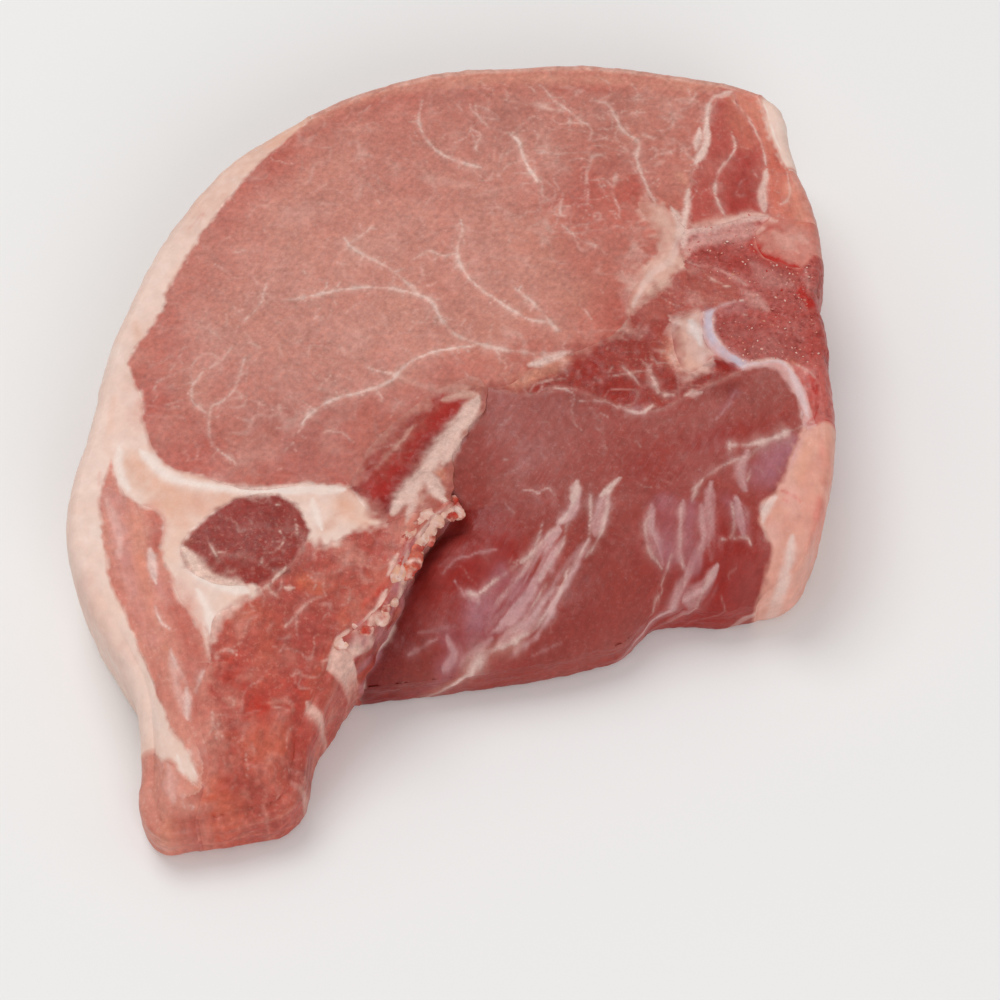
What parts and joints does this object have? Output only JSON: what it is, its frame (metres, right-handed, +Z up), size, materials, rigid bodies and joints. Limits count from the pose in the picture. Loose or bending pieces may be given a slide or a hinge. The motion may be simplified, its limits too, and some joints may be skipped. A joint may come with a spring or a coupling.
{
  "type": "raw pork chop",
  "caption": "Raw bone-in pork loin chop lying flat: loin eye, tenderloin, fat cap, rib and backbone, and a tail that thins to its tip.",
  "frame": {"origin": "middle of the bounding box on the face that the chop rests on", "axes": "+Z up, out of the shown cut face; +Y from the tail towards the loin eye; +X from the fat cap towards the backbone"},
  "size_m": [0.1282, 0.1444, 0.0265],
  "materials": {
    "lean": "moist",
    "red_lean": "moist",
    "pale_lean": "moist",
    "dark_lean": "moist",
    "fat": "waxy",
    "pink_fat": "waxy",
    "bone": "sawn",
    "marrow": "sawn, moist",
    "cartilage": "glossy"
  },
  "bodies": {
    "root": {"loin_eye": "lean", "tail_eye": "dark_lean", "tail_strip": "pale_lean", "flank": "red_lean", "back_muscle": "red_lean", "back_outer": "red_lean", "wedge_muscle": "dark_lean", "deep_muscle": "dark_lean", "tenderloin": "dark_lean", "fat_cap": "fat", "back_fat": "fat", "bone_fat": "fat", "joint_fat": "fat", "tender_fat": "pink_fat", "backbone": "bone", "facet": "bone", "bone_chip": "bone", "rib_bone": "marrow", "cartilage": "cartilage"}
  },
  "joints": []
}
